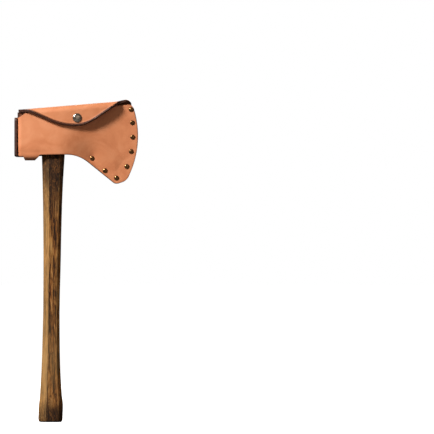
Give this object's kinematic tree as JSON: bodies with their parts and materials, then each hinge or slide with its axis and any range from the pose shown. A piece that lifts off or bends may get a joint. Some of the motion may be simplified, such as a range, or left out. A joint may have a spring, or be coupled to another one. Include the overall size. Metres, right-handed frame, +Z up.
{
  "type": "carving hatchet with sheath",
  "caption": "Carving hatchet with a faceted wooden handle, its head in a riveted leather sheath with a snap flap over the top and two belt slots behind.",
  "frame": {"origin": "centre of the handle's end face", "axes": "+Z up the handle, +X towards the cutting edge, -Y is the front of the sheath, with the snap"},
  "size_m": [0.1676, 0.0416, 0.4367],
  "materials": {
    "forged_steel": "forged and oiled, with a bright ground bevel",
    "hickory": "dark weathered hickory with long streaks, oiled",
    "wedge_wood": "plain sawn hardwood",
    "wedge_steel": "plain steel",
    "russet_leather": "smooth russet vegetable-tanned leather with dark burnished edges",
    "welt_leather": "rough cut leather edge",
    "nickel": "polished nickel plate",
    "antique_brass": "antique nickel-brass plate"
  },
  "bodies": {
    "sheath": {"back_panel": "russet_leather", "front_panel": "russet_leather", "edge_welt": "welt_leather", "edge_rivet_1": "antique_brass", "edge_rivet_2": "antique_brass", "edge_rivet_3": "antique_brass", "edge_rivet_4": "antique_brass", "edge_rivet_5": "antique_brass", "edge_rivet_6": "antique_brass", "edge_rivet_7": "antique_brass", "edge_rivet_8": "antique_brass", "edge_washer_1": "nickel", "edge_washer_2": "nickel", "edge_washer_3": "nickel", "edge_washer_4": "nickel", "edge_washer_5": "nickel", "edge_washer_6": "nickel", "edge_washer_7": "nickel", "edge_washer_8": "nickel", "poll_rivet_1": "antique_brass", "poll_rivet_2": "antique_brass", "poll_rivet_3": "antique_brass", "poll_washer_1": "nickel", "poll_washer_2": "nickel", "poll_washer_3": "nickel", "snap_stud": "nickel", "snap_post": "nickel"},
    "flap": {"flap_bridge": "russet_leather", "flap_tongue": "russet_leather", "snap_cap": "nickel", "snap_socket": "nickel"},
    "hatchet": {"axe_head": "forged_steel", "handle": "hickory", "wooden_wedge": "wedge_wood", "steel_wedge": "wedge_steel"}
  },
  "joints": [
    {"name": "flap_open", "type": "hinge", "parent": "sheath", "child": "flap", "pos_m": [0.031, 0.01225, 0.4289], "axis": [-0.9949, 0.0571, -0.0834], "range_deg": [0, 165], "deforming": ["flap_bridge"]},
    {"name": "hatchet_draw", "type": "slide", "parent": "sheath", "child": "hatchet", "axis": [0, 0, 1], "range_m": [0, 0.445]}
  ]
}
